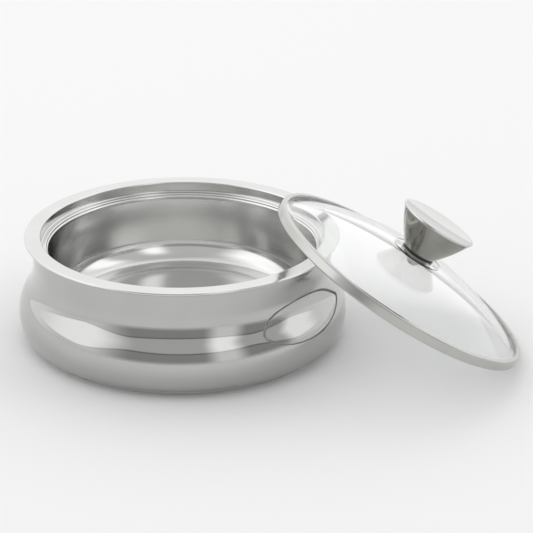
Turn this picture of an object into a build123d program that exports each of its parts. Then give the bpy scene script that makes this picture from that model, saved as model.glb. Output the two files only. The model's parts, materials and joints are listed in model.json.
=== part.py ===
"""Insulated serving casserole: double-walled steel pot and a lift-off domed glass lid.

Millimetres. +Z is up. The origin is the centre of the pot's flat base, on the surface it
stands on. The lid leans against the pot's flange with its lower edge on the same surface.
"""
from build123d import *
from math import acos, cos, radians, sin, sqrt
import os

# ---------------------------------------------------------------- driving dimensions
# Sheet metal and general fits
WALL = 0.7               # stainless sheet of the pot
SEAM_GAP = 0.05          # between sheets folded or laid together, and between clamped pieces
FOAM_GAP = 0.3           # round the foamed filling
STAND_OFF = 0.3          # between the lid and the pot, and between the lid and the surface

# Pot, overall
BELLY_RADIUS = 128.5     # widest ring
RIM_HEIGHT = 83.0        # top of the flange above the surface

# Flange and the recess that takes the lid
NECK_INSET = 12.5        # neck inside the widest ring
FLANGE_OVERHANG = 6.0    # flange beyond the neck
FLANGE_WIDTH = 12.4
FLANGE_CORNER = 1.2      # round where the flange turns down into the recess
RECESS_DEPTH = 8.6
SEAT_WIDTH = 4.6         # level ledge the lid sits on
SEAT_CORNER = 1.0
SEAT_DROP = 1.6          # short step under the ledge
BEAD_HEIGHT = 3.2        # rounded bead under the step
BEAD_BULGE = 1.2

# Bowl
BOWL_TAPER = 4.0         # how much smaller the bowl is at its floor than at its mouth
BOWL_FLOOR_HEIGHT = 17.0
BOWL_CORNER = 20.0

# Outer shell
NECK_TURN = 1.0          # round where the neck turns out under the flange
NECK_SWEEP = 36.0        # hollow round between the neck and the shoulder
SHOULDER_SLOPE = 33.0    # degrees from upright where that round meets the next
SHOULDER_RADIUS = 37.0   # round from the shoulder into the widest ring
BELLY_LOWER_RADIUS = 29.0
BELLY_LOWER_ARC = 25.5   # degrees of that round above the tighter base corner
BASE_CORNER = 7.0
SHELL_HEIGHT = 4.5       # level bottom of the shell above the surface
SHELL_LEDGE = 21.4       # width of that level bottom

# Base plate and plug
FOOT_INSET = 2.4         # foot bead inside the shell's level bottom
FOOT_WIDTH = 5.0
FOOT_SLOPE = 1.4         # run of the foot bead's inner side
FOOT_CORNER = 1.2
BASE_PLATE_HEIGHT = 2.6
PLUG_RADIUS = 5.95
PLUG_FIT = 0.05
PLUG_HEAD_RADIUS = 9.0
PLUG_HEAD_HEIGHT = 1.2
PLUG_LIP = 1.2
PLUG_LIP_HEIGHT = 2.0

# Lid ring, gasket and glass
LID_PLAY = 1.8           # lid ring inside the recess
LID_RING_HEIGHT = 8.0
LID_RING_WIDTH = 3.8
LID_SHEET = 0.6
RING_CORNER = 1.3
GASKET_REVEAL = 0.2      # gasket that shows inside the ring
GASKET_LIP = 1.3         # gasket under and over the glass
GLASS_THICKNESS = 4.0
GLASS_BITE = 2.4         # glass held inside the gasket
GLASS_FLAT = 2.3         # level strip of glass inside the gasket
DOME_RISE = 22.0         # crown above that strip
CROWN_RADIUS = 20.0      # flat crown the knob stands on
GLASS_HOLE_RADIUS = 5.0

# Knob
KNOB_HEIGHT = 28.0
KNOB_FOOT_RADIUS = 12.9
KNOB_TOP_RADIUS = 29.6
KNOB_BOW = 0.9           # how far the flared side swells beyond a straight cone
KNOB_SHEET = 0.6
CAP_OVERHANG = 0.8       # cap beyond the knob's shell
CAP_SKIRT = 1.4          # turned-down edge of the cap
CAP_CORNER = 0.7
CAP_RIM_WIDTH = 1.6
CAP_DISH_DEPTH = 1.2

# Screw and the stack it clamps
SCREW_RADIUS = 2.5
SCREW_CLEARANCE = 0.4    # round the screw in the seals, washers and knob
THREAD_CLEARANCE = 0.04  # round the screw in the insert
SCREW_HEAD_RADIUS = 5.0
SCREW_HEAD_HEIGHT = 3.2
SCREW_GRIP = 11.0        # screw held in the insert
INSERT_RADIUS = 7.0
INSERT_HEIGHT = 13.0
KNOB_SEAL_OVERHANG = 0.3
KNOB_SEAL_THICKNESS = 1.8
LOWER_SEAL_RADIUS = 9.5
LOWER_SEAL_THICKNESS = 1.6
WASHER_RADIUS = 10.5
WASHER_THICKNESS = 1.0
LOCK_WASHER_RADIUS = 4.8
LOCK_WASHER_THICKNESS = 1.2

# How the lid leans
LEAN_ANGLE = 31.6        # degrees between the lid and the surface
LEAN_BEARING = 6.4       # degrees from +X towards +Y of the way the slope runs down
LEAN_TOUCH = 16.6        # degrees round the hem from that bearing to where the lid rests
PLACE_ROUNDS = 12        # steps that settle the lid's place

os.makedirs("parts", exist_ok=True)

# ---------------------------------------------------------------- sizes that follow
neck_radius = BELLY_RADIUS - NECK_INSET
flange_radius = neck_radius + FLANGE_OVERHANG
recess_radius = flange_radius - FLANGE_WIDTH
hem_thickness = 3 * WALL + 2 * SEAM_GAP
hem_round = hem_thickness / 2
hem_centre = flange_radius - hem_round
hem_end = neck_radius + NECK_TURN + STAND_OFF
shell_lip_height = RIM_HEIGHT - 2 * WALL - SEAM_GAP
seat_height = RIM_HEIGHT - RECESS_DEPTH
seat_inner = recess_radius - SEAT_WIDTH
bead_top = seat_height - SEAT_DROP
bead_foot = bead_top - BEAD_HEIGHT

belly_turn = radians(BELLY_LOWER_ARC)
belly_height = (
    SHELL_HEIGHT + BELLY_LOWER_RADIUS * sin(belly_turn) + BASE_CORNER * (1 - sin(belly_turn))
)
shell_flat_radius = (
    BELLY_RADIUS - BELLY_LOWER_RADIUS * (1 - cos(belly_turn)) - BASE_CORNER * cos(belly_turn)
)
slope = radians(SHOULDER_SLOPE)
shoulder_foot_radius = BELLY_RADIUS - SHOULDER_RADIUS * (1 - cos(slope))
shoulder_foot_height = belly_height + SHOULDER_RADIUS * sin(slope)
shoulder_run = shoulder_foot_radius - neck_radius
kink_height = shoulder_foot_height + shoulder_run * cos(slope) / sin(slope)
foot_radius = shell_flat_radius - FOOT_INSET
plug_hole = PLUG_RADIUS + PLUG_FIT

lid_radius = recess_radius - LID_PLAY
ring_inner = lid_radius - LID_RING_WIDTH
gasket_inner = ring_inner - GASKET_REVEAL
glass_low = LID_SHEET + SEAM_GAP + GASKET_LIP + SEAM_GAP
glass_edge = gasket_inner + GLASS_BITE
crown_height = glass_low + GLASS_THICKNESS + DOME_RISE
crown_under = crown_height - GLASS_THICKNESS

knob_foot = crown_height + KNOB_SEAL_THICKNESS + 2 * SEAM_GAP
knob_floor = knob_foot + KNOB_SHEET
cap_top = knob_foot + KNOB_HEIGHT
cap_radius = KNOB_TOP_RADIUS + CAP_OVERHANG
insert_foot = knob_floor + SEAM_GAP
lower_seal_foot = crown_under - SEAM_GAP - LOWER_SEAL_THICKNESS
washer_foot = lower_seal_foot - SEAM_GAP - WASHER_THICKNESS
lock_washer_foot = washer_foot - SEAM_GAP - LOCK_WASHER_THICKNESS
screw_seat = lock_washer_foot - SEAM_GAP
screw_hole = SCREW_RADIUS + SCREW_CLEARANCE


# ---------------------------------------------------------------- shared helpers
def sheet(curve, wall, hidden_side):
    """Closed section of a bent sheet whose shown face follows the curve.

    The wall lies to the left of the curve (+90) or to its right (-90).
    """
    line = Wire(curve)
    corner = line @ 0 + (line % 0).rotate(Axis.Z, hidden_side) * wall
    sections = [
        make_face(line.offset_2d(wall, side=side).edges()) for side in (Side.LEFT, Side.RIGHT)
    ]
    return min(sections, key=lambda section: section.distance_to(corner))


def band(curve, reach):
    """Region within a distance of a curve, on both sides of it."""
    return make_face(Wire(curve).offset_2d(reach, side=Side.BOTH).edges())


def outline(*points):
    """Straight-sided closed section."""
    return make_face(Polyline(*points, close=True).edges())


def spun(section):
    """Solid turned about Z from a section drawn as (radius, height)."""
    return revolve(Plane.XZ * section, Axis.Z, 360)


def ring(inner, outer, low, height):
    """Square-edged ring standing on a height."""
    high = low + height
    return spun(outline((inner, low), (outer, low), (outer, high), (inner, high)))


def save(solid, name):
    solid.label = name
    export_step(solid, f"parts/{name}.step")


# ---------------------------------------------------------------- pot
def bowl_curve():
    """Shown face of the bowl: rolled edge, flange, lid seat, bead, wall and floor."""
    hem_foot = RIM_HEIGHT - hem_thickness
    under = Line((hem_end, hem_foot), (hem_centre, hem_foot))
    roll = ThreePointArc(
        (hem_centre, hem_foot),
        (flange_radius, RIM_HEIGHT - hem_round),
        (hem_centre, RIM_HEIGHT),
    )
    seat = FilletPolyline(
        (hem_centre, RIM_HEIGHT),
        (recess_radius, RIM_HEIGHT),
        (recess_radius, seat_height),
        (seat_inner, seat_height),
        (seat_inner, bead_top),
        radius=[FLANGE_CORNER, SEAT_CORNER, SEAT_CORNER],
    )
    bead = ThreePointArc(
        (seat_inner, bead_top),
        (seat_inner - BEAD_BULGE, (bead_top + bead_foot) / 2),
        (seat_inner, bead_foot),
    )
    bowl = FilletPolyline(
        (seat_inner, bead_foot),
        (seat_inner - BOWL_TAPER, BOWL_FLOOR_HEIGHT),
        (0, BOWL_FLOOR_HEIGHT),
        radius=BOWL_CORNER,
    )
    return under.edges() + roll.edges() + seat.edges() + bead.edges() + bowl.edges()


def shell_curve():
    """Shown face of the outer shell: turned-out lip, neck, shoulder, belly and bottom."""
    neck = FilletPolyline(
        (hem_centre - WALL, shell_lip_height),
        (neck_radius, shell_lip_height),
        (neck_radius, kink_height),
        (shoulder_foot_radius, shoulder_foot_height),
        radius=[NECK_TURN, NECK_SWEEP],
    )
    shoulder = JernArc(neck @ 1, neck % 1, SHOULDER_RADIUS, -SHOULDER_SLOPE)
    belly = JernArc(shoulder @ 1, shoulder % 1, BELLY_LOWER_RADIUS, -BELLY_LOWER_ARC)
    corner = JernArc(belly @ 1, belly % 1, BASE_CORNER, BELLY_LOWER_ARC - 90)
    bottom = Line(corner @ 1, (shell_flat_radius - SHELL_LEDGE, SHELL_HEIGHT))
    return neck.edges() + shoulder.edges() + belly.edges() + corner.edges() + bottom.edges()


def base_curve():
    """Shown face of the base plate: level middle, foot bead and upright edge."""
    foot_inner = foot_radius - FOOT_WIDTH
    return FilletPolyline(
        (plug_hole, BASE_PLATE_HEIGHT),
        (foot_inner - FOOT_SLOPE, BASE_PLATE_HEIGHT),
        (foot_inner, 0),
        (foot_radius, 0),
        (foot_radius, SHELL_HEIGHT - SEAM_GAP),
        radius=FOOT_CORNER,
    ).edges()


def base_plug():
    """Rubber plug that closes the filling hole in the base plate."""
    head_top = BASE_PLATE_HEIGHT - SEAM_GAP
    head_foot = head_top - PLUG_HEAD_HEIGHT
    lip_foot = BASE_PLATE_HEIGHT + WALL + SEAM_GAP
    lip_top = lip_foot + PLUG_LIP_HEIGHT
    section = outline(
        (0, head_foot),
        (PLUG_HEAD_RADIUS, head_foot),
        (PLUG_HEAD_RADIUS, head_top),
        (PLUG_RADIUS, head_top),
        (PLUG_RADIUS, lip_foot),
        (PLUG_RADIUS + PLUG_LIP, lip_foot),
        (PLUG_RADIUS, lip_top),
        (0, lip_top),
    )
    return spun(section)


def insulation_foam():
    """Foamed filling of the space between the two walls and the base plate."""
    block = outline((0, 0), (BELLY_RADIUS, 0), (BELLY_RADIUS, RIM_HEIGHT), (0, RIM_HEIGHT))
    reach = WALL + FOAM_GAP
    for curve in (bowl_curve(), shell_curve(), base_curve()):
        block -= band(curve, reach)
    plug_reach = PLUG_RADIUS + PLUG_LIP + FOAM_GAP
    plug_top = BASE_PLATE_HEIGHT + WALL + SEAM_GAP + PLUG_LIP_HEIGHT + FOAM_GAP
    block -= outline((0, 0), (plug_reach, 0), (plug_reach, plug_top), (0, plug_top))
    filling_point = (plug_reach + FOAM_GAP, (BASE_PLATE_HEIGHT + BOWL_FLOOR_HEIGHT) / 2)
    return spun(block.faces().sort_by_distance(filling_point)[0])


# ---------------------------------------------------------------- lid, level at the origin
def rim_band():
    """Steel channel that closes on the gasket; its lower face lies at height nought."""
    curve = FilletPolyline(
        (ring_inner, 0),
        (lid_radius, 0),
        (lid_radius, LID_RING_HEIGHT),
        (ring_inner, LID_RING_HEIGHT),
        radius=RING_CORNER,
    )
    return spun(sheet(curve.edges(), LID_SHEET, 90))


def glass_gasket():
    """Silicone channel between the steel band and the glass."""
    outer = lid_radius - LID_SHEET - SEAM_GAP
    low = LID_SHEET + SEAM_GAP
    high = LID_RING_HEIGHT - LID_SHEET - SEAM_GAP
    slot_low = glass_low - SEAM_GAP
    slot_high = glass_low + GLASS_THICKNESS + SEAM_GAP
    slot_outer = glass_edge + SEAM_GAP
    section = outline(
        (gasket_inner, low),
        (outer, low),
        (outer, high),
        (gasket_inner, high),
        (gasket_inner, slot_high),
        (slot_outer, slot_high),
        (slot_outer, slot_low),
        (gasket_inner, slot_low),
    )
    outer_corners = section.vertices().group_by(Axis.X)[-1]
    return spun(fillet(outer_corners, RING_CORNER - LID_SHEET + SEAM_GAP))


def lid_glass():
    """Tempered dome with a level edge strip and a flat crown."""
    strip_top = glass_low + GLASS_THICKNESS
    strip_inner = gasket_inner - GLASS_FLAT
    centre_drop = ((strip_inner**2 - CROWN_RADIUS**2) / DOME_RISE - DOME_RISE) / 2
    dome_radius = sqrt(strip_inner**2 + centre_drop**2)
    middle = (strip_inner + CROWN_RADIUS) / 2
    middle_height = strip_top - centre_drop + sqrt(dome_radius**2 - middle**2)
    strip = Line((glass_edge, strip_top), (strip_inner, strip_top))
    dome = ThreePointArc(
        (strip_inner, strip_top), (middle, middle_height), (CROWN_RADIUS, crown_height)
    )
    crown = Line((CROWN_RADIUS, crown_height), (GLASS_HOLE_RADIUS, crown_height))
    return spun(sheet(strip.edges() + dome.edges() + crown.edges(), GLASS_THICKNESS, 90))


def glass_bush():
    """Sleeve that keeps the screw off the glass."""
    height = GLASS_THICKNESS - 2 * SEAM_GAP
    outer = GLASS_HOLE_RADIUS - SEAM_GAP
    return ring(screw_hole, outer, crown_under + SEAM_GAP, height)


def knob_seal():
    """Black washer between the crown and the knob."""
    outer = KNOB_FOOT_RADIUS + KNOB_SEAL_OVERHANG
    return ring(screw_hole, outer, crown_height + SEAM_GAP, KNOB_SEAL_THICKNESS)


def lower_seal():
    """Washer between the underside of the glass and the steel washer."""
    return ring(screw_hole, LOWER_SEAL_RADIUS, lower_seal_foot, LOWER_SEAL_THICKNESS)


def lower_washer():
    """Wide steel washer under the glass."""
    return ring(screw_hole, WASHER_RADIUS, washer_foot, WASHER_THICKNESS)


def lock_washer():
    """Spring washer under the screw's head."""
    return ring(screw_hole, LOCK_WASHER_RADIUS, lock_washer_foot, LOCK_WASHER_THICKNESS)


def knob_screw():
    """Pan-head screw that clamps the knob to the glass from below."""
    head_foot = screw_seat - SCREW_HEAD_HEIGHT
    tip = insert_foot + SCREW_GRIP
    head = ThreePointArc(
        (0, head_foot),
        (SCREW_HEAD_RADIUS * 0.75, head_foot + SCREW_HEAD_HEIGHT * 0.3),
        (SCREW_HEAD_RADIUS, screw_seat),
    )
    rest = Polyline(
        (SCREW_HEAD_RADIUS, screw_seat), (SCREW_RADIUS, screw_seat), (SCREW_RADIUS, tip), (0, tip)
    )
    axis = Line((0, tip), (0, head_foot))
    return spun(make_face(head.edges() + rest.edges() + axis.edges()))


def knob_shell():
    """Spun cup of the knob, flaring from its foot to an upright rim inside the cap."""
    foot = Line((screw_hole, knob_foot), (KNOB_FOOT_RADIUS, knob_foot))
    flare = SagittaArc(
        (KNOB_FOOT_RADIUS, knob_foot),
        (KNOB_TOP_RADIUS, cap_top - CAP_SKIRT - KNOB_SHEET),
        -KNOB_BOW,
    )
    rim = Line(flare @ 1, (KNOB_TOP_RADIUS, cap_top - KNOB_SHEET - SEAM_GAP))
    return spun(sheet(foot.edges() + flare.edges() + rim.edges(), KNOB_SHEET, 90))


def knob_cap():
    """Shallow dished disc that closes the knob, with an edge turned down over the shell."""
    rim_inner = cap_radius - CAP_RIM_WIDTH
    dish_radius = (rim_inner**2 + CAP_DISH_DEPTH**2) / (2 * CAP_DISH_DEPTH)
    middle = rim_inner / 2
    middle_drop = CAP_DISH_DEPTH - dish_radius + sqrt(dish_radius**2 - middle**2)
    edge = FilletPolyline(
        (cap_radius, cap_top - CAP_SKIRT),
        (cap_radius, cap_top),
        (rim_inner, cap_top),
        radius=CAP_CORNER,
    )
    dish = ThreePointArc(
        (rim_inner, cap_top), (middle, cap_top - middle_drop), (0, cap_top - CAP_DISH_DEPTH)
    )
    return spun(sheet(edge.edges() + dish.edges(), KNOB_SHEET, 90))


def knob_insert():
    """Threaded boss fixed to the floor of the knob."""
    return ring(SCREW_RADIUS + THREAD_CLEARANCE, INSERT_RADIUS, insert_foot, INSERT_HEIGHT)


# ---------------------------------------------------------------- leaning the lid
def lid_place():
    """Where the lid stands: its lower edge on the surface, its band on the flange's hem."""
    lean = radians(LEAN_ANGLE)
    bearing = radians(LEAN_BEARING)
    touch = radians(LEAN_BEARING + LEAN_TOUCH)
    axis = Vector(sin(lean) * cos(bearing), sin(lean) * sin(bearing), cos(lean))
    up_slope = Vector(-cos(lean) * cos(bearing), -cos(lean) * sin(bearing), sin(lean))
    across = Vector(-sin(bearing), cos(bearing), 0)
    corner = lid_radius - RING_CORNER
    centre_height = STAND_OFF + RING_CORNER + corner * sin(lean) - RING_CORNER * cos(lean)

    # the band's inner edge crosses the hem: the gap between them is square to both curves
    hem_point = Vector(hem_centre * cos(touch), hem_centre * sin(touch), RIM_HEIGHT - hem_round)
    along_hem = Vector(-sin(touch), cos(touch), 0)
    gap = axis
    for _ in range(PLACE_ROUNDS):
        rise = hem_point.Z + gap.Z * (hem_round + STAND_OFF) - centre_height
        turn = acos(rise / (ring_inner * sin(lean)))
        along_band = across * cos(turn) - up_slope * sin(turn)
        gap = along_hem.cross(along_band).normalized()
        gap = gap if gap.Z > 0 else -gap
    outward = up_slope * cos(turn) + across * sin(turn)
    centre = hem_point + gap * (hem_round + STAND_OFF) - outward * ring_inner
    return Location(Plane(origin=centre, x_dir=up_slope, z_dir=axis))


pot_nodes = {
    "inner_bowl": spun(sheet(bowl_curve(), WALL, 90)),
    "outer_shell": spun(sheet(shell_curve(), WALL, -90)),
    "base_plate": spun(sheet(base_curve(), WALL, 90)),
    "base_plug": base_plug(),
    "insulation_foam": insulation_foam(),
}
lid_nodes = {
    "rim_band": rim_band(),
    "glass_gasket": glass_gasket(),
    "lid_glass": lid_glass(),
    "glass_bush": glass_bush(),
    "knob_seal": knob_seal(),
    "lower_seal": lower_seal(),
    "lower_washer": lower_washer(),
    "lock_washer": lock_washer(),
    "knob_screw": knob_screw(),
    "knob_shell": knob_shell(),
    "knob_cap": knob_cap(),
    "knob_insert": knob_insert(),
}
for name, solid in pot_nodes.items():
    save(solid, name)
for name, solid in lid_nodes.items():
    save(lid_place() * solid, name)
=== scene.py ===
"""Looks of the insulated casserole: spun steel pot, banded glass lid and flared knob.

Metres, in the frame of the CAD model. Outlines are written in millimetres as
(distance from the axis, height), and the lid is modelled level, then set leaning.
"""
import json
from math import acos, atan2, cos, degrees, pi, radians, sin, sqrt, tan

import bpy
from mathutils import Matrix, Vector


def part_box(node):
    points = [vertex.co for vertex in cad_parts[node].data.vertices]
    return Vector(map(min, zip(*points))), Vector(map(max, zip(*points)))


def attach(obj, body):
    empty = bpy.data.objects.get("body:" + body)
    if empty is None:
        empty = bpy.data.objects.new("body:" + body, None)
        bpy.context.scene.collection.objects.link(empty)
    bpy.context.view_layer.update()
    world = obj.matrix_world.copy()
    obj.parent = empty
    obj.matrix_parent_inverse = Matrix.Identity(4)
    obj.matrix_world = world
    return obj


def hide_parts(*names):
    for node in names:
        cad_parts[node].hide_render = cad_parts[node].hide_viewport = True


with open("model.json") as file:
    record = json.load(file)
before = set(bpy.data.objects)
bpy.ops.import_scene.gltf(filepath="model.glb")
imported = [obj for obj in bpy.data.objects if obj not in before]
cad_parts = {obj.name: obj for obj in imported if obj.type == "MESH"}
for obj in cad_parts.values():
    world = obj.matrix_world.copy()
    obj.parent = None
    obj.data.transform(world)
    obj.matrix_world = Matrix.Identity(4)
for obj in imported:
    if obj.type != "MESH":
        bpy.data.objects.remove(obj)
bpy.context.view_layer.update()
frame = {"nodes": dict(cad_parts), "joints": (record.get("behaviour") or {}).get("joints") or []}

MM = 0.001
AROUND = 256             # faces round a spun piece
AROUND_SMALL = 96        # the same for a plug, washer or screw
POINTS_APART = 0.004     # closer outline points count as one
SMOOTH_ANGLE = 32        # degrees; a sharper edge stays an edge

# ---------------------------------------------------------------- sizes, in millimetres
WALL = 0.7
SEAM = 0.05              # between folded and seated faces
RIM_HEIGHT = 83.0
FLANGE_RADIUS = 122.0
HEM = 2.2
HEM_END = 117.3
RECESS_RADIUS = 109.6
SEAT_HEIGHT = 74.4
SEAT_INNER = 105.0
BEAD_TOP = 72.8
BEAD_FOOT = 69.6
BEAD_BULGE = 1.2
BOWL_FLOOR_RADIUS = 101.0
BOWL_FLOOR = 17.0
BOWL_ROUNDING = 20.0
NECK_RADIUS = 116.0
SWEEP_CORNER = 51.18     # height where the neck's line meets the shoulder's
NECK_SWEEP = 36.0
BELLY_RADIUS = 128.5
BELLY_HEIGHT = 20.97
SHOULDER_RADIUS = 37.0
SHOULDER_SLOPE = 33.0
BELLY_LOWER_RADIUS = 29.0
BELLY_LOWER_ARC = 25.5
BASE_CORNER = 7.0
SHELL_BOTTOM = 4.5
SHELL_MOUTH = 97.96
FOOT_RADIUS = 116.96
FOOT_INNER = 111.96
FOOT_SLOPE = 110.56      # radius where the base plate turns down to the foot
FOOT_ROUNDING = 1.2
BASE_LEVEL = 2.6
FILLING_HOLE = 6.0
PLUG_FLANGE = 9.0
PLUG_STEM = 5.95
PLUG_BARB = 7.15
PLUG_BOTTOM = 1.35
PLUG_SEAT = 2.55
PLUG_BARB_LEVEL = 3.35
PLUG_TOP = 5.35
LID_RADIUS = 107.8
BAND_HEIGHT = 8.0
BAND_INNER = 104.0
BAND_SHEET = 0.6
BAND_ROUNDING = 1.3
GASKET_INNER = 103.8
GASKET_OUTER = 107.15
GASKET_BOTTOM = 0.65
GASKET_TOP = 7.35
GASKET_START = 104.5     # where its outline begins, on the lower face
GROOVE_RADIUS = 106.25   # bottom of the groove that holds the glass
GROOVE_LOW = 1.95
GROOVE_HIGH = 6.05
GLASS_LOW = 2.0
GLASS = 4.0
GLASS_RADIUS = 106.2
GLASS_HOLE = 5.0
GLASS_STRIP_INNER = 101.5
GLASS_BEND = 10.0        # rounding from the level edge into the dome
DOME_BEGIN_PAST = 0.9    # degrees of the dome that the bend takes up
CROWN_RADIUS = 20.0
CROWN = 28.0
KNOB_FOOT = 29.9
KNOB_FOOT_RADIUS = 12.9
KNOB_TOP_RADIUS = 29.6
KNOB_TOP = 57.9
KNOB_BOW = 0.9
KNOB_SHEET = 0.6
KNOB_FOOT_ROUNDING = 1.2
CAP_RADIUS = 30.4
CAP_SKIRT = 1.4
CAP_EDGE = 0.7
CAP_RIM_WIDTH = 1.6
CAP_DISH_DEPTH = 1.2
SCREW_HOLE = 2.9
SCREW_SHANK = 2.5
SCREW_TIP = 41.75
HEAD_RADIUS = 5.0
HEAD_LOW = 16.8
HEAD_EDGE = 19.8
HEAD_SEAT = 20.0
HEAD_SIDE = (3.75, 17.76)            # a point on the head's curve
CROSS_SLOT = (5.2, 0.95, 2.2)        # length, width and height of the cutter
CROSS_SLOT_MIDDLE = 17.3
CROSS_SLOT_EDGE = 0.12

# ---------------------------------------------------------------- outlines
def arc_between(start, middle, end, steps):
    """Points on the circle through three points, from start to end."""
    (ax, ay), (bx, by), (cx, cy) = start, middle, end
    d = 2 * (ax * (by - cy) + bx * (cy - ay) + cx * (ay - by))
    a2, b2, c2 = ax * ax + ay * ay, bx * bx + by * by, cx * cx + cy * cy
    ox = (a2 * (by - cy) + b2 * (cy - ay) + c2 * (ay - by)) / d
    oy = (a2 * (cx - bx) + b2 * (ax - cx) + c2 * (bx - ax)) / d
    radius = sqrt((ax - ox) ** 2 + (ay - oy) ** 2)
    begin, finish = atan2(ay - oy, ax - ox), atan2(cy - oy, cx - ox)
    turn = finish - begin
    left_turn = (bx - ax) * (cy - by) - (by - ay) * (cx - bx) > 0
    if left_turn and turn < 0:
        turn += 2 * pi
    if not left_turn and turn > 0:
        turn -= 2 * pi
    angles = [begin + turn * i / steps for i in range(steps + 1)]
    return [(ox + radius * cos(a), oy + radius * sin(a)) for a in angles]


def arc_on(centre, radius, begin, end, steps):
    """Points on a circle round a centre, from one angle to another, in degrees."""
    angles = [radians(begin + (end - begin) * i / steps) for i in range(steps + 1)]
    return [(centre[0] + radius * cos(a), centre[1] + radius * sin(a)) for a in angles]


def rounded(*corners, steps=7):
    """Outline through corners given as (distance, height) or (distance, height, rounding)."""
    points = [corners[0][:2]]
    for before, corner, after in zip(corners, corners[1:], corners[2:]):
        if len(corner) == 2:
            points.append(corner)
            continue
        here = Vector(corner[:2])
        back = (Vector(before[:2]) - here).normalized()
        ahead = (Vector(after[:2]) - here).normalized()
        half = back.angle(ahead) / 2
        reach = corner[2] / tan(half)
        centre = here + (back + ahead).normalized() * corner[2] / sin(half)
        nearest = centre + (here - centre).normalized() * corner[2]
        points += arc_between(
            tuple(here + back * reach), tuple(nearest), tuple(here + ahead * reach), steps
        )
    points.append(corners[-1][:2])
    return points


def thinned(points):
    """The same outline without points that lie on each other."""
    kept = [points[0]]
    for point in points[1:]:
        if (Vector(point) - Vector(kept[-1])).length > POINTS_APART:
            kept.append(point)
    return kept


# ---------------------------------------------------------------- modelling
def only(piece):
    """Make one piece the selected and active object."""
    bpy.ops.object.select_all(action="DESELECT")
    piece.select_set(True)
    bpy.context.view_layer.objects.active = piece


def apply_modifier(piece, kind, **settings):
    only(piece)
    modifier = piece.modifiers.new(kind.title(), kind)
    for setting, value in settings.items():
        setattr(modifier, setting, value)
    bpy.ops.object.modifier_apply(modifier=modifier.name)


def spun_piece(name, outline, closed=False, around=AROUND, turn=360.0):
    """Spin an outline about Z. A closed outline gives a solid ring, an open one a skin."""
    outline = thinned(outline)
    first = outline[0]
    bpy.ops.object.select_all(action="DESELECT")
    bpy.ops.mesh.primitive_plane_add(size=0.001, location=(first[0] * MM, 0, first[1] * MM))
    piece = bpy.context.active_object
    piece.name = piece.data.name = name
    bpy.ops.object.transform_apply(location=True, rotation=True, scale=True)
    bpy.ops.object.mode_set(mode="EDIT")
    bpy.ops.mesh.select_all(action="SELECT")
    bpy.ops.mesh.merge(type="CENTER")
    for here, there in zip(outline, outline[1:]):
        step = ((there[0] - here[0]) * MM, 0, (there[1] - here[1]) * MM)
        bpy.ops.mesh.extrude_region_move(TRANSFORM_OT_translate={"value": step})
    if closed:
        bpy.ops.object.mode_set(mode="OBJECT")
        for vertex in piece.data.vertices:
            vertex.select = vertex.index in (0, len(outline) - 1)
        bpy.ops.object.mode_set(mode="EDIT")
        bpy.ops.mesh.edge_face_add()
    bpy.ops.mesh.select_all(action="SELECT")
    bpy.ops.mesh.spin(
        steps=around,
        angle=radians(turn),
        center=(0, 0, 0),
        axis=(0, 0, 1),
        use_auto_merge=turn == 360,
    )
    bpy.ops.mesh.select_all(action="SELECT")
    bpy.ops.mesh.remove_doubles(threshold=1e-6)
    bpy.ops.mesh.normals_make_consistent(inside=False)
    bpy.ops.object.mode_set(mode="OBJECT")
    return piece


def finish_piece(piece, body, slot, finish, *nodes, place=None):
    """Smooth a piece, keep its level place as an attribute, set it in place and give its finish."""
    only(piece)
    bpy.ops.object.shade_smooth_by_angle(angle=radians(SMOOTH_ANGLE))
    apply_modifier(piece, "WEIGHTED_NORMAL", keep_sharp=True, weight=60)
    mesh = piece.data
    level = mesh.attributes.new("level_place", "FLOAT_VECTOR", "POINT")
    flat = [0.0] * (3 * len(mesh.vertices))
    mesh.vertices.foreach_get("co", flat)
    level.data.foreach_set("vector", flat)
    if place is not None:
        piece.matrix_world = place
        only(piece)
        bpy.ops.object.transform_apply(location=True, rotation=True, scale=True)
    mesh.materials.clear()
    mesh.materials.append(finish)
    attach(piece, body)
    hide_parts(*nodes)


# ---------------------------------------------------------------- finishes
class Reading:
    """A value in a finish, so that sums on it can be written as plain expressions."""

    def __init__(self, finish, socket):
        self.finish = finish
        self.socket = socket

    def sum(self, operation, first, second=0.0):
        return self.finish.node("ShaderNodeMath", {"operation": operation}, {0: first, 1: second})

    def __add__(self, other):
        return self.sum("ADD", self, other)

    def __radd__(self, other):
        return self.sum("ADD", other, self)

    def __sub__(self, other):
        return self.sum("SUBTRACT", self, other)

    def __rsub__(self, other):
        return self.sum("SUBTRACT", other, self)

    def __mul__(self, other):
        return self.sum("MULTIPLY", self, other)

    def __rmul__(self, other):
        return self.sum("MULTIPLY", other, self)

    def __truediv__(self, other):
        return self.sum("DIVIDE", self, other)

    def __pow__(self, other):
        return self.sum("POWER", self, other)

    def at_least(self, other):
        return self.sum("MAXIMUM", self, other)

    def between(self, low, high):
        """A smooth rise from 0 at low to 1 at high."""
        return self.finish.node(
            "ShaderNodeMapRange",
            {"interpolation_type": "SMOOTHSTEP"},
            {"Value": self, "From Min": low, "From Max": high},
        )

    def bump_between(self, low, high, soft):
        """1 between low and high, falling to 0 over a soft edge."""
        return self.between(low - soft, low + soft) * (1 - self.between(high - soft, high + soft))


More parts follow.
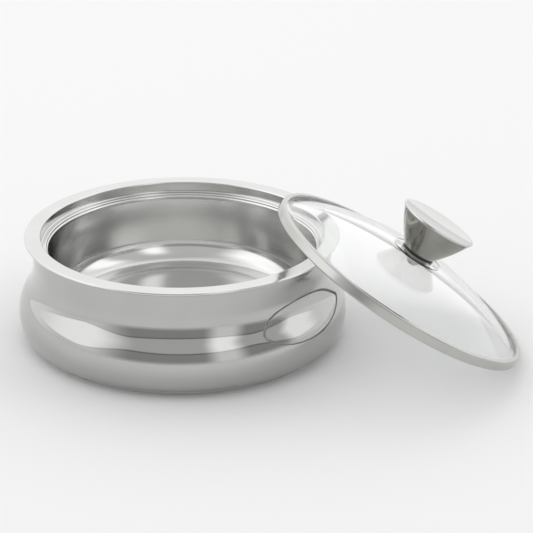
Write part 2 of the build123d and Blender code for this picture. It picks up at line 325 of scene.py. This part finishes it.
class Finish:
    """Node tree of a material or of the world."""

    def __init__(self, owner):
        self.owner = owner
        owner.use_nodes = True
        self.tree = owner.node_tree
        self.tree.nodes.clear()

    def node(self, kind, settings=None, values=None, output=0):
        """Add a node with its settings, then the values or links of its sockets."""
        made = self.tree.nodes.new(kind)
        for setting, value in (settings or {}).items():
            setattr(made, setting, value)
        for socket, value in (values or {}).items():
            if isinstance(value, Reading):
                self.tree.links.new(value.socket, made.inputs[socket])
            else:
                made.inputs[socket].default_value = value
        return Reading(self, made.outputs[output]) if made.outputs else made

    def parts(self, vector):
        split = self.node("ShaderNodeSeparateXYZ", values={0: vector})
        outputs = split.socket.node.outputs
        return [Reading(self, outputs[axis]) for axis in "XYZ"]

    def join(self, x, y, z):
        return self.node("ShaderNodeCombineXYZ", values={0: x, 1: y, 2: z})

    def mixed(self, amount, first, second):
        """A colour between two colours."""
        return self.node(
            "ShaderNodeMix", {"data_type": "RGBA"}, {"Factor": amount, 6: first, 7: second}, output=2
        )

    def noise(self, vector, scale, detail=2.0, roughness=0.5):
        return self.node(
            "ShaderNodeTexNoise",
            values={"Vector": vector, "Scale": scale, "Detail": detail, "Roughness": roughness},
        )

    def show(self, shader, kind="ShaderNodeOutputMaterial"):
        self.node(kind, values={"Surface": shader})


def grey(value):
    return (value, value, value, 1.0)


def shade(tint, strength=1.0):
    """A tint, darker or lighter, as a full colour."""
    return tuple(part * strength for part in tint) + (1.0,)


def new_finish(name):
    return Finish(bpy.data.materials.new(name))


def level_place(finish):
    """Where a point was while its piece still stood level on the axis."""
    return finish.node("ShaderNodeAttribute", {"attribute_name": "level_place"}, output="Vector")


LINE_PITCH = 0.0004      # metres between the lines on spun sheet
LINE_RUN = 0.0006        # how fast a line changes along its way round
MOTTLING = 0.03          # how much cloudy patches change the roughness
LEAST_ROUGH = 0.02


def spun_steel(name, tint, rough, line_depth, waviness=0.0):
    """Polished sheet with the fine lines that a lathe leaves round it. Depths are in metres."""
    finish = new_finish(name)
    place = level_place(finish)
    x, y, height = finish.parts(place)
    distance = (x * x + y * y) ** 0.5
    angle = finish.node("ShaderNodeMath", {"operation": "ARCTAN2"}, {0: y, 1: x})
    round_it = finish.join(distance, height, angle * LINE_RUN)
    fine = finish.noise(round_it, 1 / LINE_PITCH, detail=3.0, roughness=0.6)
    broad = finish.noise(round_it, 0.12 / LINE_PITCH, detail=1.0)
    clouds = finish.noise(place, 28.0, detail=2.0)
    swells = finish.noise(place, 17.0, detail=0.0)
    lines = fine * 0.7 + broad * 0.3
    roughness = rough + (lines - 0.5) * (rough * 0.5) + (clouds - 0.5) * MOTTLING
    colour = finish.mixed(clouds.between(0.3, 0.7), shade(tint, 0.97), shade(tint))
    relief = lines * line_depth + swells * waviness
    normal = finish.node(
        "ShaderNodeBump", values={"Strength": 1.0, "Distance": 1.0, "Height": relief}
    )
    shader = finish.node(
        "ShaderNodeBsdfPrincipled",
        values={
            "Base Color": colour,
            "Metallic": 1.0,
            "Roughness": roughness.at_least(LEAST_ROUGH),
            "Normal": normal,
        },
    )
    finish.show(shader)
    return finish.owner


def moulded(name, tint, rough):
    """Moulded silicone or rubber."""
    finish = new_finish(name)
    place = level_place(finish)
    grain = finish.noise(place, 900.0, detail=3.0)
    bloom = finish.noise(place, 60.0)
    normal = finish.node(
        "ShaderNodeBump", values={"Strength": 0.4, "Distance": 0.0001, "Height": grain}
    )
    colour = finish.mixed(bloom, shade(tint), shade(tint, 1.5))
    shader = finish.node(
        "ShaderNodeBsdfPrincipled",
        values={
            "Base Color": colour,
            "Roughness": rough + (grain - 0.5) * 0.15,
            "Normal": normal,
        },
    )
    finish.show(shader)
    return finish.owner


def clear_glass(name):
    """Tempered glass, faintly green, which lets most of the light through its shadow."""
    finish = new_finish(name)
    haze = finish.noise(level_place(finish), 12.0)
    shader = finish.node(
        "ShaderNodeBsdfPrincipled",
        values={
            "Base Color": (0.985, 0.995, 0.99, 1.0),
            "Roughness": haze.between(0.45, 0.9) * 0.02,
            "IOR": 1.5,
            "Specular IOR Level": 0.25,
            "Transmission Weight": 1.0,
        },
    )
    clear = finish.node("ShaderNodeBsdfTransparent", values={"Color": (0.93, 0.95, 0.94, 1.0)})
    shadow = finish.node("ShaderNodeLightPath", output="Is Shadow Ray")
    mix = finish.node("ShaderNodeMixShader", values={0: shadow, 1: shader, 2: clear})
    finish.show(mix)
    return finish.owner


def plain_steel(name, tint, rough):
    """Turned steel, for a piece that keeps its CAD mesh."""
    finish = new_finish(name)
    place = finish.node("ShaderNodeTexCoord", output="Object")
    grain = finish.noise(place, 1500.0, detail=3.0)
    stain = finish.noise(place, 90.0)
    colour = finish.mixed(stain, shade(tint, 0.9), shade(tint))
    shader = finish.node(
        "ShaderNodeBsdfPrincipled",
        values={"Base Color": colour, "Metallic": 1.0, "Roughness": rough + (grain - 0.5) * 0.2},
    )
    finish.show(shader)
    return finish.owner


def foam_finish(name):
    """Cream foam with fine cells, for a piece that keeps its CAD mesh."""
    finish = new_finish(name)
    place = finish.node("ShaderNodeTexCoord", output="Object")
    cells = finish.node(
        "ShaderNodeTexVoronoi", values={"Vector": place, "Scale": 900.0}, output="Distance"
    )
    patches = finish.noise(place, 40.0)
    colour = finish.mixed(patches, (0.80, 0.70, 0.46, 1.0), (0.88, 0.80, 0.58, 1.0))
    normal = finish.node(
        "ShaderNodeBump", values={"Strength": 0.6, "Distance": 0.0004, "Height": cells}
    )
    shader = finish.node(
        "ShaderNodeBsdfPrincipled",
        values={"Base Color": colour, "Roughness": 0.85 + patches * 0.1, "Normal": normal},
    )
    finish.show(shader)
    return finish.owner


# Painted shade: the shell's tint is darker than bare steel and stands in for the darker surroundings
# its mirror image shows.
shell_finish = spun_steel("shell_mirror", (0.50, 0.50, 0.49), 0.05, 2e-7, waviness=6e-5)
bowl_finish = spun_steel("bowl_satin", (0.68, 0.68, 0.67), 0.15, 6e-7)
base_finish = spun_steel("base_satin", (0.74, 0.74, 0.73), 0.28, 1e-6)
# Painted shade: the band's and knob's tints are also darker than bare steel, and the knob's brown
# cast is a painted reflection of brown surroundings.
band_finish = spun_steel("band_satin", (0.50, 0.50, 0.48), 0.16, 4e-7)
knob_finish = spun_steel("knob_brushed_painted_shade", (0.38, 0.37, 0.34), 0.10, 6e-7, waviness=4e-5)
dish_finish = spun_steel("knob_dish", (0.60, 0.60, 0.59), 0.06, 2e-7)
fastener_finish = spun_steel("fastener_steel", (0.68, 0.68, 0.67), 0.30, 1e-6)
silicone_finish = moulded("dark_silicone", (0.02, 0.02, 0.02), 0.5)
pale_silicone_finish = moulded("pale_silicone", (0.55, 0.56, 0.55), 0.45)
rubber_finish = moulded("grey_rubber", (0.05, 0.05, 0.05), 0.6)
glass_finish = clear_glass("clear_glass")
insert_finish = plain_steel("insert_steel", (0.68, 0.68, 0.67), 0.35)
foam = foam_finish("cream_foam")

# ---------------------------------------------------------------- pot
bowl_outline = (
    [(HEM_END, RIM_HEIGHT - HEM)]
    + arc_between(
        (FLANGE_RADIUS - HEM / 2, RIM_HEIGHT - HEM),
        (FLANGE_RADIUS, RIM_HEIGHT - HEM / 2),
        (FLANGE_RADIUS - HEM / 2, RIM_HEIGHT),
        14,
    )
    + rounded(
        (FLANGE_RADIUS - HEM / 2, RIM_HEIGHT),
        (RECESS_RADIUS, RIM_HEIGHT, 1.2),
        (RECESS_RADIUS, SEAT_HEIGHT, 1.0),
        (SEAT_INNER, SEAT_HEIGHT, 1.0),
        (SEAT_INNER, BEAD_TOP),
        steps=9,
    )[1:]
    + arc_between(
        (SEAT_INNER, BEAD_TOP),
        (SEAT_INNER - BEAD_BULGE, (BEAD_TOP + BEAD_FOOT) / 2),
        (SEAT_INNER, BEAD_FOOT),
        14,
    )[1:]
    + rounded(
        (SEAT_INNER, BEAD_FOOT),
        (BOWL_FLOOR_RADIUS, BOWL_FLOOR, BOWL_ROUNDING),
        (0, BOWL_FLOOR),
        steps=26,
    )[1:]
)
bowl = spun_piece("bowl", bowl_outline)
apply_modifier(bowl, "SOLIDIFY", thickness=WALL * MM, offset=-1, use_even_offset=True)
finish_piece(bowl, "pot", "bowl_steel", bowl_finish, "inner_bowl")

slope = radians(SHOULDER_SLOPE)
shoulder_foot = (
    BELLY_RADIUS - SHOULDER_RADIUS * (1 - cos(slope)),
    BELLY_HEIGHT + SHOULDER_RADIUS * sin(slope),
)
shoulder_centre = (BELLY_RADIUS - SHOULDER_RADIUS, BELLY_HEIGHT)
lower_centre = (BELLY_RADIUS - BELLY_LOWER_RADIUS, BELLY_HEIGHT)
corner_angle = radians(BELLY_LOWER_ARC)
corner_centre = (
    lower_centre[0] + (BELLY_LOWER_RADIUS - BASE_CORNER) * cos(corner_angle),
    lower_centre[1] - (BELLY_LOWER_RADIUS - BASE_CORNER) * sin(corner_angle),
)
lip = RIM_HEIGHT - 2 * WALL - SEAM
shell_outline = (
    rounded(
        (FLANGE_RADIUS - HEM / 2 - WALL, lip),
        (NECK_RADIUS, lip, 1.0),
        (NECK_RADIUS, SWEEP_CORNER, NECK_SWEEP),
        shoulder_foot,
        steps=16,
    )
    + arc_on(shoulder_centre, SHOULDER_RADIUS, SHOULDER_SLOPE, 0, 16)[1:]
    + arc_on(lower_centre, BELLY_LOWER_RADIUS, 0, -BELLY_LOWER_ARC, 16)[1:]
    + arc_on(corner_centre, BASE_CORNER, -BELLY_LOWER_ARC, -90, 14)[1:]
    + [(SHELL_MOUTH, SHELL_BOTTOM)]
)
shell = spun_piece("shell", shell_outline)
apply_modifier(shell, "SOLIDIFY", thickness=WALL * MM, offset=1, use_even_offset=True)
finish_piece(shell, "pot", "shell_steel", shell_finish, "outer_shell")

base = spun_piece(
    "base",
    rounded(
        (FILLING_HOLE, BASE_LEVEL),
        (FOOT_SLOPE, BASE_LEVEL, FOOT_ROUNDING),
        (FOOT_INNER, 0, FOOT_ROUNDING),
        (FOOT_RADIUS, 0, FOOT_ROUNDING),
        (FOOT_RADIUS, SHELL_BOTTOM - SEAM),
    ),
)
apply_modifier(base, "SOLIDIFY", thickness=WALL * MM, offset=-1, use_even_offset=True)
finish_piece(base, "pot", "base_steel", base_finish, "base_plate")

plug = spun_piece(
    "filling_plug",
    rounded(
        (0, PLUG_BOTTOM),
        (PLUG_FLANGE, PLUG_BOTTOM, 0.5),
        (PLUG_FLANGE, PLUG_SEAT, 0.3),
        (PLUG_STEM, PLUG_SEAT),
        (PLUG_STEM, PLUG_BARB_LEVEL),
        (PLUG_BARB, PLUG_BARB_LEVEL, 0.3),
        (PLUG_STEM, PLUG_TOP, 0.4),
        (0, PLUG_TOP),
    ),
    around=AROUND_SMALL,
)
finish_piece(plug, "pot", "grey_rubber", rubber_finish, "base_plug")

# ---------------------------------------------------------------- lid
lid_axis = Vector(frame["joints"][0]["axis"]).normalized()
band_low, band_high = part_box("rim_band")
lid_foot = (band_low + band_high) / 2 - lid_axis * (BAND_HEIGHT / 2 * MM)
up_slope = (Vector((0, 0, 1)) - lid_axis * lid_axis.z).normalized()
across = lid_axis.cross(up_slope)
lid_turn = Matrix((up_slope, across, lid_axis)).transposed().to_4x4()
lid_place = Matrix.Translation(lid_foot) @ lid_turn

band = spun_piece(
    "lid_band",
    rounded(
        (BAND_INNER, 0),
        (LID_RADIUS, 0, BAND_ROUNDING),
        (LID_RADIUS, BAND_HEIGHT, BAND_ROUNDING),
        (BAND_INNER, BAND_HEIGHT),
        steps=10,
    ),
)
apply_modifier(band, "SOLIDIFY", thickness=BAND_SHEET * MM, offset=-1, use_even_offset=True)
finish_piece(band, "lid", "band_steel", band_finish, "rim_band", place=lid_place)

gasket = spun_piece(
    "lid_gasket",
    rounded(
        (GASKET_START, GASKET_BOTTOM),
        (GASKET_OUTER, GASKET_BOTTOM, 0.75),
        (GASKET_OUTER, GASKET_TOP, 0.75),
        (GASKET_INNER, GASKET_TOP, 0.5),
        (GASKET_INNER, GROOVE_HIGH, 0.3),
        (GROOVE_RADIUS, GROOVE_HIGH),
        (GROOVE_RADIUS, GROOVE_LOW),
        (GASKET_INNER, GROOVE_LOW, 0.3),
        (GASKET_INNER, GASKET_BOTTOM, 0.5),
        (GASKET_START, GASKET_BOTTOM),
        steps=5,
    )[:-1],
    closed=True,
)
finish_piece(gasket, "lid", "pale_silicone", pale_silicone_finish, "glass_gasket", place=lid_place)

strip_top = GLASS_LOW + GLASS
rise = CROWN - strip_top
drop = ((GLASS_STRIP_INNER**2 - CROWN_RADIUS**2) / rise - rise) / 2
dome_radius = sqrt(GLASS_STRIP_INNER**2 + drop**2)
dome_centre = (0, strip_top - drop)
dome_begin = degrees(atan2(drop, GLASS_STRIP_INNER))
dome_end = degrees(acos(CROWN_RADIUS / dome_radius))
dome = arc_on(dome_centre, dome_radius, dome_begin + DOME_BEGIN_PAST, dome_end, 60)
glass = spun_piece(
    "lid_dome",
    rounded(
        (GLASS_RADIUS, strip_top), (GLASS_STRIP_INNER, strip_top, GLASS_BEND), dome[0], steps=8
    )
    + dome[1:]
    + [(GLASS_HOLE, CROWN)],
)
apply_modifier(glass, "SOLIDIFY", thickness=GLASS * MM, offset=-1, use_even_offset=True)
finish_piece(glass, "lid", "clear_glass", glass_finish, "lid_glass", place=lid_place)


def lid_ring(name, outer, low, high, edge, slot, finish, node, turn=360.0):
    """Washer, seal or sleeve on the screw, its edges eased. Less than a full turn leaves a gap."""
    inner = SCREW_HOLE
    middle = (inner + outer) / 2
    ring = spun_piece(
        name,
        rounded(
            (middle, low),
            (outer, low, edge),
            (outer, high, edge),
            (inner, high, edge / 2),
            (inner, low, edge / 2),
            (middle, low),
            steps=4,
        )[:-1],
        closed=True,
        around=AROUND_SMALL,
        turn=turn,
    )
    if turn < 360:
        only(ring)
        bpy.ops.object.mode_set(mode="EDIT")
        bpy.ops.mesh.select_all(action="DESELECT")
        bpy.ops.mesh.select_mode(type="EDGE")
        bpy.ops.mesh.select_non_manifold()
        bpy.ops.mesh.edge_face_add()
        bpy.ops.mesh.select_all(action="SELECT")
        bpy.ops.mesh.normals_make_consistent(inside=False)
        bpy.ops.mesh.select_mode(type="VERT")
        bpy.ops.object.mode_set(mode="OBJECT")
    finish_piece(ring, "lid", slot, finish, node, place=lid_place)


SPRING_WASHER_TURN = 352     # degrees; the rest is its gap
pale = ("pale_silicone", pale_silicone_finish)
dark = ("dark_silicone", silicone_finish)
fastener = ("fastener_steel", fastener_finish)
# name, outer radius, bottom, top, easing of the edges, then slot, finish and CAD node
lid_ring("knob_washer", 13.2, 28.05, 29.85, 0.5, *dark, "knob_seal")
lid_ring("glass_sleeve", 4.95, 24.05, 27.95, 0.2, *pale, "glass_bush")
lid_ring("under_seal", 9.5, 22.35, 23.95, 0.4, *pale, "lower_seal")
lid_ring("under_washer", 10.5, 21.3, 22.3, 0.2, *fastener, "lower_washer")
lid_ring("spring_washer", 4.8, 20.05, 21.25, 0.15, *fastener, "lock_washer", SPRING_WASHER_TURN)

screw = spun_piece(
    "screw",
    arc_between((0, HEAD_LOW), HEAD_SIDE, (HEAD_RADIUS, HEAD_EDGE), 12)
    + rounded(
        (HEAD_RADIUS, HEAD_EDGE),
        (HEAD_RADIUS, HEAD_SEAT),
        (SCREW_SHANK, HEAD_SEAT, 0.2),
        (SCREW_SHANK, SCREW_TIP, 0.5),
        (0, SCREW_TIP),
        steps=4,
    ),
    around=AROUND_SMALL,
)
for turn in (0, 90):
    bpy.ops.object.select_all(action="DESELECT")
    bpy.ops.mesh.primitive_cube_add(size=1.0, location=(0, 0, CROSS_SLOT_MIDDLE * MM))
    blade = bpy.context.active_object
    blade.scale = [side * MM for side in CROSS_SLOT]
    blade.rotation_euler = (0, 0, radians(turn))
    bpy.ops.object.transform_apply(location=True, rotation=True, scale=True)
    bpy.ops.object.mode_set(mode="EDIT")
    bpy.ops.mesh.select_all(action="SELECT")
    bpy.ops.mesh.bevel(offset=CROSS_SLOT_EDGE * MM, segments=2, affect="EDGES")
    bpy.ops.object.mode_set(mode="OBJECT")
    apply_modifier(screw, "BOOLEAN", operation="DIFFERENCE", object=blade, solver="EXACT")
    bpy.data.objects.remove(blade)
finish_piece(screw, "lid", "fastener_steel", fastener_finish, "knob_screw", place=lid_place)

knob_rim = KNOB_TOP - CAP_SKIRT - KNOB_SHEET
flare_run = Vector((KNOB_TOP_RADIUS - KNOB_FOOT_RADIUS, knob_rim - KNOB_FOOT))
flare_middle = (
    Vector((KNOB_FOOT_RADIUS, KNOB_FOOT))
    + flare_run / 2
    + Vector((flare_run.y, -flare_run.x)).normalized() * KNOB_BOW
)
flare = arc_between((KNOB_FOOT_RADIUS, KNOB_FOOT), flare_middle, (KNOB_TOP_RADIUS, knob_rim), 40)
knob = spun_piece(
    "knob_cup",
    rounded(
        (SCREW_HOLE, KNOB_FOOT),
        (KNOB_FOOT_RADIUS, KNOB_FOOT, KNOB_FOOT_ROUNDING),
        flare[3],
        steps=6,
    )
    + flare[4:]
    + [(KNOB_TOP_RADIUS, KNOB_TOP - KNOB_SHEET - SEAM)],
)
apply_modifier(knob, "SOLIDIFY", thickness=KNOB_SHEET * MM, offset=-1, use_even_offset=True)
finish_piece(knob, "lid", "knob_steel", knob_finish, "knob_shell", place=lid_place)

dish_edge = CAP_RADIUS - CAP_RIM_WIDTH
dish_radius = (dish_edge**2 + CAP_DISH_DEPTH**2) / (2 * CAP_DISH_DEPTH)
dish_middle = KNOB_TOP - CAP_DISH_DEPTH + dish_radius - sqrt(dish_radius**2 - (dish_edge / 2) ** 2)
cap = spun_piece(
    "knob_dish",
    rounded(
        (CAP_RADIUS, KNOB_TOP - CAP_SKIRT),
        (CAP_RADIUS, KNOB_TOP, CAP_EDGE),
        (dish_edge, KNOB_TOP),
        steps=12,
    )
    + arc_between(
        (dish_edge, KNOB_TOP), (dish_edge / 2, dish_middle), (0, KNOB_TOP - CAP_DISH_DEPTH), 40
    )[1:],
)
apply_modifier(cap, "SOLIDIFY", thickness=KNOB_SHEET * MM, offset=-1, use_even_offset=True)
finish_piece(cap, "lid", "knob_steel", dish_finish, "knob_cap", place=lid_place)

for node, finish in (("insulation_foam", foam), ("knob_insert", insert_finish)):
    kept = frame["nodes"][node].data.materials
    kept.clear()
    kept.append(finish)

# ---------------------------------------------------------------- floor, light and camera
FLOOR_SIZE = 14.0
FLOOR_COLOUR = 0.90

# Levels of the room, where 1 is white. Every ray sees the same room.
LOW_WALL = 0.38
HIGH_WALL = 0.64
LOW_PANEL = 0.62         # added to the low wall where a panel hangs
HIGH_PANEL = 0.86
RAIL_SHADE = 0.20        # taken off along the rail between low and high wall
COVE = 0.85              # where the walls meet the floor
CEILING = 0.62
WALL_BEHIND = 1.15
BRIGHTEST = 1.5

LAMP_PLACE = (-0.3, 0.9, 1.7)
LAMP_AIM = (0.05, 0, 0.05)
LAMP_WIDTH = 2.8
LAMP_DEPTH = 2.2
LAMP_WATTS = 4

CAMERA_PLACE = (0.0656, -1.2262, 0.5732)
CAMERA_TILT = 67.023
CAMERA_ROLL = 0.526
CAMERA_LENS = 114.82
CAMERA_SENSOR = 36.0

bpy.ops.object.select_all(action="DESELECT")
bpy.ops.mesh.primitive_plane_add(size=FLOOR_SIZE, location=(0, 0, 0))
floor = bpy.context.active_object
floor.name = "floor"
table = new_finish("pale_floor")
table.show(table.node("ShaderNodeBsdfDiffuse", values={"Color": grey(FLOOR_COLOUR)}))
floor.data.materials.append(table.owner)

room = bpy.data.worlds.new("studio")
bpy.context.scene.world = room
studio = Finish(room)
tx, ty, tz = studio.parts(studio.node("ShaderNodeTexCoord", output="Generated"))
# Bearings are in radians from the front, -Y, towards +X. Heights are the direction's own z.
bearing = studio.node("ShaderNodeMath", {"operation": "ARCTAN2"}, {0: tx, 1: ty * -1.0})
left_wall = 1 - bearing.between(-1.15, -0.55)
front_panel = bearing.bump_between(0.40, 0.76, 0.12)
right_panel = bearing.bump_between(1.42, 1.90, 0.12) * 1.2
side = left_wall + front_panel + right_panel
low_wall = LOW_WALL + side * LOW_PANEL
high_wall = HIGH_WALL + side * HIGH_PANEL
rail_height = 0.12 + 0.30 * bearing.bump_between(-0.95, 1.25, 0.35)
above_rail = tz - rail_height
front = low_wall + (high_wall - low_wall) * above_rail.between(-0.02, 0.02)
front = front - RAIL_SHADE * above_rail.bump_between(-0.03, 0.02, 0.015)
cove = 1 - tz.between(-0.04, 0.14)
front = front + (COVE - front) * cove
front = front + (CEILING - front) * tz.between(0.72, 0.95)
level = front + (WALL_BEHIND - front) * ty.between(-0.10, 0.55)
bright = studio.node("ShaderNodeBackground", values={"Color": grey(1.0), "Strength": BRIGHTEST})
unlit = studio.node("ShaderNodeBackground", values={"Color": grey(0.0), "Strength": 0.0})
studio.show(
    studio.node("ShaderNodeMixShader", values={0: level / BRIGHTEST, 1: unlit, 2: bright}),
    "ShaderNodeOutputWorld",
)

lamp = bpy.data.lights.new("overhead_box", "AREA")
lamp.shape = "RECTANGLE"
lamp.size, lamp.size_y, lamp.energy = LAMP_WIDTH, LAMP_DEPTH, LAMP_WATTS
soft_box = bpy.data.objects.new("overhead_box", lamp)
bpy.context.collection.objects.link(soft_box)
soft_box.location = LAMP_PLACE
lamp_way = Vector(LAMP_AIM) - Vector(LAMP_PLACE)
soft_box.rotation_euler = lamp_way.to_track_quat("-Z", "Y").to_euler()

camera = bpy.data.objects.new("camera", bpy.data.cameras.new("camera"))
bpy.context.collection.objects.link(camera)
camera.data.lens = CAMERA_LENS
camera.data.sensor_width = CAMERA_SENSOR
camera.data.clip_end = 50.0
camera.matrix_world = (
    Matrix.Translation(CAMERA_PLACE)
    @ Matrix.Rotation(radians(CAMERA_TILT), 4, "X")
    @ Matrix.Rotation(radians(CAMERA_ROLL), 4, "Z")
)
scene = bpy.context.scene
scene.camera = camera
scene.view_settings.view_transform = "Standard"
